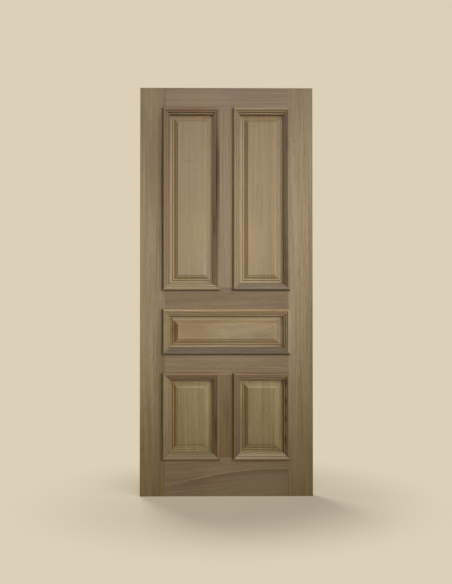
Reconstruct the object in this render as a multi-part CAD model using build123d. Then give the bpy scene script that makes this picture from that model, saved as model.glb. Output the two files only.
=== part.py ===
"""A five-panel hardwood door leaf with raised and fielded panels and bolection mouldings.

Millimetres. The leaf stands upright on the XY plane: X runs across its width, Y through its
thickness with the front face towards -Y, and Z runs up. The origin is in the middle of the bottom edge.
"""

import os
from math import sqrt

from build123d import *

# Leaf
LEAF_WIDTH = 838.0
LEAF_HEIGHT = 1981.0
LEAF_THICKNESS = 44.0
ARRIS_EASE = 0.8

# Frame members and the openings between them; the upper opening takes the height that is left
STILE_WIDTH = 121.0
TOP_RAIL_WIDTH = 107.0
FRIEZE_RAIL_WIDTH = 115.0
LOCK_RAIL_WIDTH = 111.5
BOTTOM_RAIL_WIDTH = 187.0
MUNTIN_WIDTH = 87.0
MIDDLE_OPENING_HEIGHT = 197.0
LOWER_OPENING_HEIGHT = 398.0

# Panel groove in the members' edges, and the stub tenons that fill it at the joints
GROOVE_WIDTH = 15.0
GROOVE_DEPTH = 12.0
TENON_FACE_CLEARANCE = 0.1
TENON_END_GAP = 1.0

# Glued dowels across each shoulder
DOWEL_DIAMETER = 12.0
DOWEL_LENGTH = 110.0
DOWEL_CHAMFER = 1.5
DOWEL_CLEARANCE = 0.1
DOWEL_END_GAP = 1.5
RAIL_DOWELS = 2
BOTTOM_RAIL_DOWELS = 3
MUNTIN_DOWELS = 2

# Bolection moulding, in order from its outer edge to its inner edge
MOULD_LAP = 12.0
MOULD_SIDE_HEIGHT = 3.25
TORUS_RADIUS = 8.5
QUIRK_WIDTH = 1.0
QUIRK_DEPTH = 1.0
OVOLO_CREST_HEIGHT = 7.0
OVOLO_RADIUS = 9.0
MOULD_FILLET_WIDTH = 6.0
MOULD_DROP_RUN = 3.5
MOULD_EDGE_CLEARANCE = 0.25

# Raised and fielded panel, in order from the moulding to the field
PANEL_THICKNESS = 34.0
PANEL_FACE_CLEARANCE = 0.25
PANEL_EDGE_GAP = 2.0
MARGIN_SIGHT = 13.5
MARGIN_STEP_RISE = 2.5
MARGIN_FLAT_WIDTH = 5.5
BEVEL_RUN = 10.5
FIELD_FLAT_WIDTH = 4.5
FIELD_STEP_RUN = 4.0
FIELD_STEP_RISE = 2.75

# How far a cutting shape runs past what it cuts
OVERRUN = 5.0

# Derived places
OPENING_WIDTH = LEAF_WIDTH - 2 * STILE_WIDTH
HALF_OPENING_WIDTH = (OPENING_WIDTH - MUNTIN_WIDTH) / 2
HALF_OPENING_CENTRE = (MUNTIN_WIDTH + HALF_OPENING_WIDTH) / 2

LOWER_SILL = BOTTOM_RAIL_WIDTH
LOWER_HEAD = LOWER_SILL + LOWER_OPENING_HEIGHT
MIDDLE_SILL = LOWER_HEAD + LOCK_RAIL_WIDTH
MIDDLE_HEAD = MIDDLE_SILL + MIDDLE_OPENING_HEIGHT
UPPER_SILL = MIDDLE_HEAD + FRIEZE_RAIL_WIDTH
UPPER_HEAD = LEAF_HEIGHT - TOP_RAIL_WIDTH

TENON_LENGTH = GROOVE_DEPTH - TENON_END_GAP
TENON_THICKNESS = GROOVE_WIDTH - 2 * TENON_FACE_CLEARANCE

TONGUE_REACH = GROOVE_DEPTH - PANEL_EDGE_GAP
TONGUE_HALF_THICKNESS = GROOVE_WIDTH / 2 - PANEL_FACE_CLEARANCE
MARGIN_DEPTH = LEAF_THICKNESS / 2 - TONGUE_HALF_THICKNESS

QUIRK_HEIGHT = OVOLO_CREST_HEIGHT - QUIRK_DEPTH
TORUS_END = TORUS_RADIUS + sqrt(TORUS_RADIUS**2 - (QUIRK_HEIGHT - MOULD_SIDE_HEIGHT) ** 2)
OVOLO_START = TORUS_END + QUIRK_WIDTH
OVOLO_END = OVOLO_START + OVOLO_RADIUS
FILLET_END = OVOLO_END + MOULD_FILLET_WIDTH
MOULD_WIDTH = FILLET_END + MOULD_DROP_RUN
FILLET_HEIGHT = OVOLO_CREST_HEIGHT - OVOLO_RADIUS
MOULD_TOP = MOULD_SIDE_HEIGHT + TORUS_RADIUS

# Where each panel sits: middle of its opening, its width, its sill and its head
OPENINGS = {
    "upper_left": (-HALF_OPENING_CENTRE, HALF_OPENING_WIDTH, UPPER_SILL, UPPER_HEAD),
    "upper_right": (HALF_OPENING_CENTRE, HALF_OPENING_WIDTH, UPPER_SILL, UPPER_HEAD),
    "middle": (0, OPENING_WIDTH, MIDDLE_SILL, MIDDLE_HEAD),
    "lower_left": (-HALF_OPENING_CENTRE, HALF_OPENING_WIDTH, LOWER_SILL, LOWER_HEAD),
    "lower_right": (HALF_OPENING_CENTRE, HALF_OPENING_WIDTH, LOWER_SILL, LOWER_HEAD),
}

# Rails: underside, width, which edges are grooved for panels, and dowels at each end
RAILS = {
    "top_rail": (UPPER_HEAD, TOP_RAIL_WIDTH, (-1,), RAIL_DOWELS),
    "frieze_rail": (MIDDLE_HEAD, FRIEZE_RAIL_WIDTH, (-1, 1), RAIL_DOWELS),
    "lock_rail": (LOWER_HEAD, LOCK_RAIL_WIDTH, (-1, 1), RAIL_DOWELS),
    "bottom_rail": (0, BOTTOM_RAIL_WIDTH, (1,), BOTTOM_RAIL_DOWELS),
}

# Muntins: the sill and head of the openings that they part
MUNTINS = {
    "upper_muntin": (UPPER_SILL, UPPER_HEAD),
    "lower_muntin": (LOWER_SILL, LOWER_HEAD),
}

# Lays what was drawn upright along X, with its width turned up
ALONG_X = Plane(origin=(0, 0, 0), x_dir=(0, 0, 1), z_dir=(1, 0, 0))

# Outward direction of each face, and inward direction of each side of an opening
FACES = {"front": Vector(0, -1, 0), "back": Vector(0, 1, 0)}
SIDES = {
    "top": Vector(0, 0, -1),
    "bottom": Vector(0, 0, 1),
    "left": Vector(1, 0, 0),
    "right": Vector(-1, 0, 0),
}


def member_section(width, grooved_edges):
    """Section of a frame member, width along X and thickness along Y, with its panel grooves."""
    section = Rectangle(width, LEAF_THICKNESS)
    for edge in grooved_edges:
        groove = Rectangle(2 * GROOVE_DEPTH, GROOVE_WIDTH)
        section -= Pos(edge * width / 2, 0) * groove
    return section


def tenon_span(width, grooved_edges):
    """Low and high edge of a stub tenon across its member, stopped at the groove bottoms."""
    low = -width / 2 + (GROOVE_DEPTH if -1 in grooved_edges else 0)
    high = width / 2 - (GROOVE_DEPTH if 1 in grooved_edges else 0)
    return low, high


def tenoned_member(width, length, grooved_edges):
    """Rail or muntin along Z, shoulders at plus and minus half its length, a tenon at each end."""
    body = extrude(member_section(width, grooved_edges), length / 2, both=True)
    low, high = tenon_span(width, grooved_edges)
    tenon = Pos((low + high) / 2, 0) * Rectangle(high - low, TENON_THICKNESS)
    return body + extrude(tenon, length / 2 + TENON_LENGTH, both=True)


def dowel_places(width, grooved_edges, count):
    """Places of a shoulder's dowels across the member, each in the middle of its share of the tenon."""
    low, high = tenon_span(width, grooved_edges)
    pitch = (high - low) / count
    return [low + pitch / 2 + index * pitch for index in range(count)]


def dowel():
    """Dowel along Z about the origin, with chamfered ends."""
    pin = Cylinder(DOWEL_DIAMETER / 2, DOWEL_LENGTH)
    return chamfer(pin.edges().filter_by(GeomType.CIRCLE), DOWEL_CHAMFER)


def dowel_hole():
    """Bore for a dowel, half of it on each side of the shoulder."""
    return Cylinder(DOWEL_DIAMETER / 2 + DOWEL_CLEARANCE, DOWEL_LENGTH + 2 * DOWEL_END_GAP)


def rail_joints():
    """Location of each dowel between a rail and a stile, along X on the shoulder line."""
    places = []
    for base, width, grooved_edges, count in RAILS.values():
        for height in dowel_places(width, grooved_edges, count):
            for hand in (-1, 1):
                shoulder = hand * OPENING_WIDTH / 2
                places.append(Pos(shoulder, 0, base + width / 2 + height) * Rot(0, 90, 0))
    return places


def muntin_joints():
    """Location of each dowel between a muntin and a rail, along Z on the shoulder line."""
    places = []
    for ends in MUNTINS.values():
        for across in dowel_places(MUNTIN_WIDTH, (-1, 1), MUNTIN_DOWELS):
            for shoulder in ends:
                places.append(Pos(across, 0, shoulder))
    return places


def bored(member, joints):
    """The member with the dowel bores of the given joints cut where they reach it."""
    for joint in joints:
        member -= joint * dowel_hole()
    return member


def stile(hand):
    """Full-height stile, grooved on its inner edge, its outer arrises eased; hand is -1 left, 1 right."""
    post = extrude(member_section(STILE_WIDTH, (-hand,)), LEAF_HEIGHT)
    outer_arrises = post.edges().filter_by(Axis.Z).group_by(Axis.X)[-1 if hand > 0 else 0]
    post = chamfer(outer_arrises, ARRIS_EASE)
    return Pos(hand * (LEAF_WIDTH - STILE_WIDTH) / 2, 0, 0) * post


def rail(base, width, grooved_edges):
    """Rail between the stiles, laid along X with its underside at the base height."""
    member = tenoned_member(width, OPENING_WIDTH, grooved_edges)
    return Pos(0, 0, base + width / 2) * (ALONG_X * member)


def muntin(sill, head):
    """Muntin on the middle line of the leaf, between a sill height and a head height."""
    return Pos(0, 0, (sill + head) / 2) * tenoned_member(MUNTIN_WIDTH, head - sill, (-1, 1))


def panel_section(span):
    """Section of a panel across one span of its opening: tongue, margin, step, bevel and field."""
    sight = span / 2
    margin_end = sight - (MOULD_WIDTH - MOULD_LAP) - MARGIN_SIGHT
    bevel_foot = margin_end - MARGIN_FLAT_WIDTH
    bevel_head = bevel_foot - BEVEL_RUN
    step_foot = bevel_head - FIELD_FLAT_WIDTH
    field_edge = step_foot - FIELD_STEP_RUN
    field = PANEL_THICKNESS / 2
    quarter = [
        (field_edge, field),
        (step_foot, field - FIELD_STEP_RISE),
        (bevel_head, field - FIELD_STEP_RISE),
        (bevel_foot, TONGUE_HALF_THICKNESS + MARGIN_STEP_RISE),
        (margin_end, TONGUE_HALF_THICKNESS + MARGIN_STEP_RISE),
        (margin_end, TONGUE_HALF_THICKNESS),
        (sight + TONGUE_REACH, TONGUE_HALF_THICKNESS),
    ]
    half = quarter + [(across, -depth) for across, depth in reversed(quarter)]
    whole = half + [(-across, depth) for across, depth in reversed(half)]
    return make_face(Polyline(*whole, close=True))


def panel(centre, width, sill, head):
    """Panel shaped on all four edges: its section across the width meets its section up the height."""
    height = head - sill
    reach = 2 * (TONGUE_REACH + OVERRUN)
    across_width = extrude(panel_section(width), (height + reach) / 2, both=True)
    up_height = ALONG_X * extrude(panel_section(height), (width + reach) / 2, both=True)
    return Pos(centre, 0, (sill + head) / 2) * (across_width & up_height)


def mould_section():
    """Section of the moulding: X inward from its outer edge, Y up from the face of the frame."""
    side_top = (0, MOULD_SIDE_HEIGHT)
    torus_crest = (TORUS_RADIUS, MOULD_TOP)
    torus_foot = (TORUS_END, QUIRK_HEIGHT)
    ovolo_top = (OVOLO_START, OVOLO_CREST_HEIGHT)
    back = MOULD_LAP + MOULD_EDGE_CLEARANCE
    outline = [
        Line((0, 0), side_top),
        ThreePointArc(side_top, torus_crest, torus_foot),
        Polyline(torus_foot, (OVOLO_START, QUIRK_HEIGHT), ovolo_top),
        RadiusArc(ovolo_top, (OVOLO_END, FILLET_HEIGHT), OVOLO_RADIUS),
        Polyline(
            (OVOLO_END, FILLET_HEIGHT),
            (FILLET_END, FILLET_HEIGHT),
            (MOULD_WIDTH, -MARGIN_DEPTH),
            (back, -MARGIN_DEPTH),
            (back, 0),
            (0, 0),
        ),
    ]
    return make_face(outline)


def moulding(length):
    """Moulding along X with its outer edge on Y = 0, both ends mitred towards the inner edge."""
    bar = extrude(Plane.YZ * mould_section(), length / 2, both=True)
    inner = length / 2 - MOULD_WIDTH
    plan = make_face(
        Polyline(
            (-length / 2, 0),
            (length / 2, 0),
            (inner, MOULD_WIDTH),
            (-inner, MOULD_WIDTH),
            close=True,
        )
    )
    mitred = Pos(0, 0, -MARGIN_DEPTH - OVERRUN) * extrude(plan, MARGIN_DEPTH + MOULD_TOP + 2 * OVERRUN)
    return bar & mitred


def mould_side(opening, outward, inward):
    """Length of moulding on one side of an opening, on the face that looks outward."""
    centre, width, sill, head = opening
    height = head - sill
    reach = (width if inward.Z == 0 else height) / 2 + MOULD_LAP
    run = (height if inward.Z == 0 else width) + 2 * MOULD_LAP
    middle = Vector(centre, 0, (sill + head) / 2)
    edge = middle - inward * reach + outward * (LEAF_THICKNESS / 2)
    return Plane(origin=edge, x_dir=inward.cross(outward), z_dir=outward) * moulding(run)


def build():
    """Every piece of the leaf by its name."""
    rail_dowels = rail_joints()
    muntin_dowels = muntin_joints()
    pieces = {
        "left_stile": bored(stile(-1), rail_dowels),
        "right_stile": bored(stile(1), rail_dowels),
    }
    for name, (base, width, grooved_edges, _) in RAILS.items():
        pieces[name] = bored(rail(base, width, grooved_edges), rail_dowels + muntin_dowels)
    for name, (sill, head) in MUNTINS.items():
        pieces[name] = bored(muntin(sill, head), muntin_dowels)
    pieces["rail_dowels"] = Compound([joint * dowel() for joint in rail_dowels])
    pieces["muntin_dowels"] = Compound([joint * dowel() for joint in muntin_dowels])
    for place, opening in OPENINGS.items():
        pieces[f"{place}_panel"] = panel(*opening)
        for face, outward in FACES.items():
            for side, inward in SIDES.items():
                pieces[f"{face}_{place}_mould_{side}"] = mould_side(opening, outward, inward)
    return pieces


os.makedirs("parts", exist_ok=True)
for piece_name, piece in build().items():
    export_step(piece, f"parts/{piece_name}.step")
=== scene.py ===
"""Looks of a five-panel hardwood door leaf, built round its packed frame.

Metres. X runs across the leaf, Y through it with the front towards -Y, and Z runs up from the bottom edge.
Panels and mouldings are sections carried round or along their openings; every piece is bare solid timber.
"""

import math
from itertools import product
from typing import NamedTuple

import bmesh
import bpy
import numpy as np
from bpy.props import FloatProperty, FloatVectorProperty, PointerProperty
from mathutils import Color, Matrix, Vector


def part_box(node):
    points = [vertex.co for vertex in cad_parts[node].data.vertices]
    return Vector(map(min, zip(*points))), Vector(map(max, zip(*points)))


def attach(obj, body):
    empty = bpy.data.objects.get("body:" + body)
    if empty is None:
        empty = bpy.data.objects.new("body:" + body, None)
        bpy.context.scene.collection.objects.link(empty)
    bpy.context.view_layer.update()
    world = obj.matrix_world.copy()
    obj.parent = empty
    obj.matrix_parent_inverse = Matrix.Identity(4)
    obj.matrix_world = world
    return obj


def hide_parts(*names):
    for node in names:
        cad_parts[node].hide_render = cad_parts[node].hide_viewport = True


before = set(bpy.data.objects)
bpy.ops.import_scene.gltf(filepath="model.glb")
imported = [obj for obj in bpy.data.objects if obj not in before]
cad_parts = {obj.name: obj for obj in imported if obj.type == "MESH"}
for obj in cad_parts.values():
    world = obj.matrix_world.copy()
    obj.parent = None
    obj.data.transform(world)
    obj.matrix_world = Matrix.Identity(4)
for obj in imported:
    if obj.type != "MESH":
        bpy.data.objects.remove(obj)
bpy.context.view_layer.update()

bl_info = {
    "name": "Panelled door leaf",
    "version": (1, 0, 0),
    "blender": (4, 5, 0),
    "location": "View3D > Sidebar > Door leaf",
    "description": "Makes the panels, mouldings, timber finishes and studio of a five-panel door leaf",
    "category": "Add Mesh",
}

# Faces of the leaf, and the way that each one looks along Y
FACES = {"front": -1, "back": 1}

# Places of the panels, sides of an opening, and nodes of the frame
PLACES = ("upper_left", "upper_right", "middle", "lower_left", "lower_right")
SIDES = ("top", "bottom", "left", "right")
RAILS = ("top_rail", "frieze_rail", "lock_rail", "bottom_rail")
STILES = ("left_stile", "right_stile")
MUNTINS = ("upper_muntin", "lower_muntin")
DOWELS = ("rail_dowels", "muntin_dowels")

HALF_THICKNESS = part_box("left_stile")[1].y

# How far a section may be off the box of its node
BOX_TOLERANCE = 0.0005

# Lamps in the row that stands for a window
ROW_LAMPS = 4


# Sizes and colours that a user would change


def metres(name, description, value):
    """A length in metres, as a property."""
    return FloatProperty(name=name, description=description, default=value, min=0, unit="LENGTH")


def tone(name, description, red, green, blue):
    """A colour from 8-bit display values, as a property."""
    linear = Color((red / 255, green / 255, blue / 255)).from_srgb_to_scene_linear()
    return FloatVectorProperty(
        name=name, description=description, default=tuple(linear), subtype="COLOR", min=0, max=1
    )


def point(name, description, value):
    """A point in metres, as a property."""
    return FloatVectorProperty(
        name=name, description=description, default=value, subtype="TRANSLATION", unit="LENGTH"
    )


def degrees(name, description, value):
    """An angle written in degrees, as a property."""
    return FloatProperty(name=name, description=description, default=math.radians(value), subtype="ANGLE")


def watts(name, description, value):
    """The power of a lamp, as a property."""
    return FloatProperty(name=name, description=description, default=value, min=0, unit="POWER")


class MouldingSizes(bpy.types.PropertyGroup):
    """Section of the bolection moulding, from its outer edge to its inner edge."""

    lap: metres("Lap", "How far the moulding lies over the face of the frame", 0.012)
    side_height: metres("Side height", "Height of the outer side above the face", 0.00325)
    torus_radius: metres("Torus radius", "Radius of the round along the outer edge", 0.0085)
    quirk_width: metres("Quirk width", "Width of the groove between torus and ovolo", 0.001)
    quirk_depth: metres("Quirk depth", "Depth of that groove below the ovolo", 0.001)
    ovolo_crest: metres("Ovolo crest", "Height of the ovolo above the face", 0.007)
    ovolo_radius: metres("Ovolo radius", "Radius of the quarter round that falls inward", 0.009)
    fillet_width: metres("Fillet width", "Width of the flat inside the ovolo", 0.006)
    drop_run: metres("Drop run", "Width of the slope down to the panel", 0.0035)
    edge_clearance: metres("Edge clearance", "Gap between the moulding and the edge of the frame", 0.00025)
    mitre_gap: metres("Mitre gap", "Hairline left open at each mitre", 0.0001)
    arris: metres("Arris", "Reach over which sharp edges are eased", 0.0006)
    step: metres("Step", "Spacing of points along the section", 0.0002)


class PanelSizes(bpy.types.PropertyGroup):
    """Section of a raised and fielded panel, from its tongue to its field."""

    tongue_half: metres("Tongue half thickness", "Half the thickness of tongue and margin", 0.00725)
    margin: metres("Margin", "Width of margin in sight", 0.0135)
    margin_rise: metres("Margin rise", "Height of the step inside the margin", 0.0025)
    flat: metres("Flat", "Width of the flat below the bevel", 0.0055)
    bevel: metres("Bevel", "Width of the bevel", 0.0105)
    ledge: metres("Ledge", "Width of the flat above the bevel", 0.0045)
    field_run: metres("Field run", "Width of the sloped step at the edge of the field", 0.004)
    field_rise: metres("Field rise", "Height of that step", 0.00275)
    field_half: metres("Field half thickness", "Half the thickness at the field", 0.017)
    arris: metres("Arris", "Reach over which sharp edges are eased", 0.0006)
    step: metres("Step", "Spacing of points along the section", 0.0002)


class TimberTones(bpy.types.PropertyGroup):
    """Colours found in the timber."""

    straw: tone("Straw", "Pale wood of the panels", 168, 149, 117)
    oat: tone("Oat", "Pale wood of stiles and mouldings", 158, 141, 112)
    dun: tone("Dun", "Dark streaks of the stiles", 128, 111, 84)
    olive: tone("Olive", "Greenish streaks", 143, 128, 97)
    fawn: tone("Fawn", "Warm pinkish streaks", 153, 129, 103)
    ash: tone("Ash", "Greyish brown of the rails", 142, 126, 105)
    clay: tone("Clay", "Reddish brown", 143, 116, 89)
    mauve: tone("Mauve", "Greyish purple brown", 124, 106, 91)
    # Umber is also the colour of the painted shadows: the lines along the panels' steps and the bands on
    # the left stile
    umber: tone("Umber", "Dark heartwood streaks", 92, 70, 50)
    rust: tone("Rust", "Orange flecks", 160, 116, 72)
    honey: tone("Honey", "Yellowish brown towards the foot of the leaf", 154, 130, 87)
    beech: tone("Beech", "Dowel wood", 196, 164, 124)


class StageSettings(bpy.types.PropertyGroup):
    """Camera, lamps and floor."""

    backdrop: tone("Backdrop", "Floor and background", 220, 208, 184)
    floor_radius: metres("Floor radius", "Radius of the floor", 9.0)
    camera_place: point("Camera place", "Where the camera stands", (-0.0455, -3.957, 0.931))
    camera_pitch: degrees("Camera pitch", "Upward tilt", 0.824)
    camera_turn: degrees("Camera turn", "Turn to the left", -0.633)
    camera_lens: FloatProperty(
        name="Lens", description="Focal length in millimetres", default=50.0, min=1, unit="CAMERA"
    )
    aim: point("Aim", "Point that the lamps look at", (-0.05, 0.0, 1.12))
    row_distance: metres("Row distance", "Level distance of the row of lamps at the right", 7.4)
    row_height: metres("Row height", "Height of the row of lamps", 3.9)
    row_start: degrees("Row start", "Bearing of the first lamp, to the right of straight ahead", 34)
    row_end: degrees("Row end", "Bearing of the last lamp", 66)
    row_power: watts("Row power", "Power of each lamp in the row", 700)
    row_cone: degrees("Row cone", "Full angle of each beam", 17)
    row_radius: metres("Row lamp radius", "Radius of each lamp in the row", 0.6)
    overhead_place: point("Overhead place", "Where the lamp above stands", (0.3, -2.4, 4.4))
    overhead_power: watts("Overhead power", "Power of the lamp above", 54)
    rear_place: point("Rear place", "Where the lamp behind the leaf stands", (-1.6, 3.2, 2.4))
    rear_power: watts("Rear power", "Power of the lamp behind the leaf", 140)
    lamp_side: metres("Lamp side", "Side of the lamps above and behind", 1.8)
    fill: FloatVectorProperty(
        name="Fill", description="Light from all round", default=(0.09, 0.08, 0.066), subtype="COLOR", min=0
    )


# Sections and surfaces


def arc(centre, radius, start, end):
    """Points on a circle about the centre, from the start angle to the end angle in degrees."""
    points = 25
    angle = np.radians(np.linspace(start, end, points))
    return np.stack([centre[0] + radius * np.cos(angle), centre[1] + radius * np.sin(angle)], axis=1)


def eased(outline, step, reach, closed):
    """The outline at even steps along its length, each point the mean of those within half the reach.

    The mean leaves straight and gently curved stretches where they are and turns each sharp corner
    into a round of about the reach.
    """
    if closed:
        outline = np.vstack([outline, outline[:1]])
    travel = np.concatenate([[0], np.cumsum(np.hypot(*np.diff(outline, axis=0).T))])
    places = np.linspace(0, travel[-1], round(travel[-1] / step), endpoint=not closed)
    even = np.stack([np.interp(places, travel, outline[:, axis]) for axis in range(2)], axis=1)
    span = round(reach / step / 2)
    padded = np.pad(even, ((span, span), (0, 0)), mode="wrap" if closed else "edge")
    windows = np.lib.stride_tricks.sliding_window_view(padded, 2 * span + 1, axis=0)
    return windows.mean(axis=-1)


def torus_fall(sizes):
    """Angle above level at which the torus comes down to the floor of the quirk."""
    return math.asin((sizes.ovolo_crest - sizes.quirk_depth - sizes.side_height) / sizes.torus_radius)


def moulding_creases(sizes):
    """Places of the painted shade lines: along the quirk, the foot of the ovolo and the slope."""
    quirk = sizes.torus_radius * (1 + math.cos(torus_fall(sizes))) + sizes.quirk_width / 2
    fillet_start = quirk + sizes.quirk_width / 2 + sizes.ovolo_radius
    return quirk, fillet_start, fillet_start + sizes.fillet_width + sizes.drop_run / 2


def moulding_section(sizes, drop):
    """Closed section of the moulding: first coordinate inward from its outer edge, second up from the face.

    A circle's arc for the torus and a quarter circle for the ovolo, joined by straight stretches. The torus
    ends where it comes down to the floor of the quirk.
    """
    quirk_height = sizes.ovolo_crest - sizes.quirk_depth
    torus_end = torus_fall(sizes)
    ovolo_start = sizes.torus_radius * (1 + math.cos(torus_end)) + sizes.quirk_width
    fillet_start = ovolo_start + sizes.ovolo_radius
    fillet_end = fillet_start + sizes.fillet_width
    fillet_height = sizes.ovolo_crest - sizes.ovolo_radius
    back = sizes.lap + sizes.edge_clearance
    outline = np.vstack([
        [(0, 0)],
        arc((sizes.torus_radius, sizes.side_height), sizes.torus_radius, 180, math.degrees(torus_end)),
        [(ovolo_start, quirk_height)],
        arc((ovolo_start, fillet_height), sizes.ovolo_radius, 90, 0),
        [(fillet_end, fillet_height), (fillet_end + sizes.drop_run, -drop), (back, -drop), (back, 0)],
    ])
    return eased(outline, sizes.step, sizes.arris, closed=True)


def panel_section(sizes, cover):
    """Open section of a panel from its front field over the tongue to its back field.

    First coordinate inward from the tongue's edge, second forward from the middle of the thickness. The
    cover is how much of the tongue and margin lies out of sight.
    """
    margin_end = cover + sizes.margin
    bevel_foot = margin_end + sizes.flat
    bevel_head = bevel_foot + sizes.bevel
    step_foot = bevel_head + sizes.ledge
    field_edge = step_foot + sizes.field_run
    ledge = sizes.field_half - sizes.field_rise
    front = np.array([
        (field_edge + sizes.ledge, sizes.field_half),
        (field_edge, sizes.field_half),
        (step_foot, ledge),
        (bevel_head, ledge),
        (bevel_foot, sizes.tongue_half + sizes.margin_rise),
        (margin_end, sizes.tongue_half + sizes.margin_rise),
        (margin_end, sizes.tongue_half),
        (0, sizes.tongue_half),
    ])
    back = front[::-1] * (1, -1)
    return eased(np.vstack([front, back]), sizes.step, sizes.arris, closed=False)


def strips(rings, points):
    """Quads between neighbouring rings of points; point i of ring j is vertex j times points plus i."""
    lower = points * np.arange(rings - 1)[:, None]
    upper = lower + points
    here = np.arange(points)[None, :]
    following = (here + 1) % points
    corners = (lower + here, lower + following, upper + following, upper + here)
    return np.stack(corners, axis=-1).reshape(-1, 4)


def closed_mesh(name, vertices, rings):
    """A smooth mesh of rings of points, closed by its first and last ring, its faces turned outward."""
    points = len(vertices) // rings
    faces = strips(rings, points).tolist()
    faces.append(list(range(points)))
    faces.append(list(range(points * (rings - 1), points * rings)))
    mesh = bpy.data.meshes.new(name)
    mesh.from_pydata(vertices, [], faces)
    shell = bmesh.new()
    shell.from_mesh(mesh)
    bmesh.ops.recalc_face_normals(shell, faces=shell.faces)
    shell.to_mesh(mesh)
    shell.free()
    mesh.shade_smooth()
    return mesh


def mark_sharp(mesh, flags):
    """Marks the flagged edges as sharp."""
    layer = mesh.attributes.new("sharp_edge", "BOOLEAN", "EDGE")
    layer.data.foreach_set("value", flags)


def edge_ends(mesh):
    """The two vertex numbers of every edge."""
    ends = np.empty(2 * len(mesh.edges), dtype=np.int32)
    mesh.edges.foreach_get("vertices", ends)
    return ends.reshape(-1, 2)


def panel_mesh(name, section, low, high):
    """A panel: each point of the section becomes a rectangle, inset from the box by its first coordinate.

    The rectangles follow each other from the front field to the back field. The two fields close the
    ends, and the lines through the corners are sharp, because the profile is cut along straight edges.
    """
    corners = 4
    inset, forward = section[:, :1], section[:, 1:]
    across = np.hstack([low.x + inset, high.x - inset, high.x - inset, low.x + inset])
    upward = np.hstack([low.z + inset, low.z + inset, high.z - inset, high.z - inset])
    depth = np.repeat(-forward, corners, axis=1)
    vertices = np.stack([across, depth, upward], axis=-1).reshape(-1, 3)
    mesh = closed_mesh(name, vertices, rings=len(section))
    ends = edge_ends(mesh)
    mark_sharp(mesh, np.abs(ends[:, 0] - ends[:, 1]) == corners)
    return mesh


def moulding_mesh(name, section, low, high, side, facing, gap):
    """A length of moulding: its section carried along one side of the opening, with 45 degree mitres.

    At each end a point stands back from the box by its own distance from the outer edge, plus the gap.
    """
    inward, outward = section[:, 0], section[:, 1]
    upright = side in ("left", "right")
    start, end = (low.z, high.z) if upright else (low.x, high.x)
    edge, turn = {
        "top": (high.z, -1), "bottom": (low.z, 1), "left": (low.x, 1), "right": (high.x, -1)
    }[side]
    along = np.concatenate([start + inward + gap, end - inward - gap])
    across = np.tile(edge + turn * inward, 2)
    depth = np.tile(facing * (HALF_THICKNESS + outward), 2)
    vertices = np.stack([across, depth, along] if upright else [along, depth, across], axis=1)
    mesh = closed_mesh(name, vertices, rings=2)
    first_ring = edge_ends(mesh) < len(section)
    mark_sharp(mesh, first_ring[:, 0] == first_ring[:, 1])
    mesh.attributes.new("inward", "FLOAT", "POINT").data.foreach_set("value", np.tile(inward, 2))
    return mesh


def disc_mesh(name, radius, height):
    """A flat disc: a grid of distance from the middle and angle round it."""
    rings, spokes = 12, 96
    distance = np.linspace(radius / rings, radius, rings)[:, None]
    angle = np.linspace(0, 2 * math.pi, spokes, endpoint=False)[None, :]
    level = np.full((rings, spokes), height)
    vertices = np.stack([distance * np.cos(angle), distance * np.sin(angle), level], axis=-1).reshape(-1, 3)
    mesh = bpy.data.meshes.new(name)
    faces = strips(rings, spokes).tolist()
    faces.append(list(range(spokes)))
    mesh.from_pydata(vertices, [], faces)
    return mesh


def link(name, data):
    """A new object in the scene."""
    thing = bpy.data.objects.new(name, data)
    bpy.context.scene.collection.objects.link(thing)
    return thing


def add_piece(mesh, node, material):
    """Puts a mesh in the scene in place of a node of the frame."""
    mesh.materials.append(material)
    piece = link(mesh.name, mesh)
    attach(piece, "root")
    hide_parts(node)


# Timber


class Stain(NamedTuple):
    """A soft oval patch in the timber: middle, half sizes, colour, strength and turn in degrees."""

    across: float
    height: float
    half_width: float
    half_height: float
    tone: str
    strength: float
    turn: float = 0.0


class Growth(NamedTuple):
    """A growth ring cut at a slant: a pale line at height plus slope x plus curve x squared, dark below it.

    It comes up out of the plain wood between the places faint and clear along x.
    """

    height: float
    slope: float
    curve: float
    half_width: float
    fade: float
    strength: float
    faint: float
    clear: float


class Timber(NamedTuple):
    """The wood of one board.

    Early and late are its pale and its dark wood, and tint comes and goes with its share. Shade makes all
    three darker or lighter. Contrast is how far the streaks stand apart, streak their width and waviness
    the sway of the fibres. The pith lies so far behind and beside the middle of the board, the fibres
    slope by so many degrees, and foot is the share of the yellow cast low down on the leaf.
    """

    early: str
    late: str
    tint: str
    tint_share: float = 0.5
    shade: float = 1.0
    contrast: float = 1.0
    streak: float = 0.009
    waviness: float = 0.006
    pith: tuple = (0.06, 0.28)
    slope: float = 0.0
    stains: tuple = ()
    growth: Growth | None = None
    foot: float = 0.0


class Raised(NamedTuple):
    """A panel's box, the insets at which its zones begin, and the painted light and shade of its sides."""

    low: Vector
    high: Vector
    zones: tuple
    shades: tuple


class PanelShades(NamedTuple):
    """Painted light and shade along one side of a panel: beside the moulding, on the margin, on the bevel
    and on the ledge.

    Line is the strength of the painted shadow line that the margin's step casts, and warmth the share of
    the warm cast.
    """

    edge: float
    margin: float
    bevel: float
    ledge: float
    line: float = 0.1
    warmth: float = 1.0


class MouldingShades(NamedTuple):
    """Painted light and shade across a moulding: its outer lip, the quirk, the foot of the ovolo, the
    fillet and the slope.

    Spread is how far the painted shades of foot and slope reach outward.
    """

    lip: float
    quirk: float
    foot: float
    fillet: float
    slope: float
    spread: float = 0.0


class Moulded(NamedTuple):
    """The places of a moulding's creases, from its outer edge, and its painted light and shade."""

    creases: tuple
    shades: MouldingShades


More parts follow.
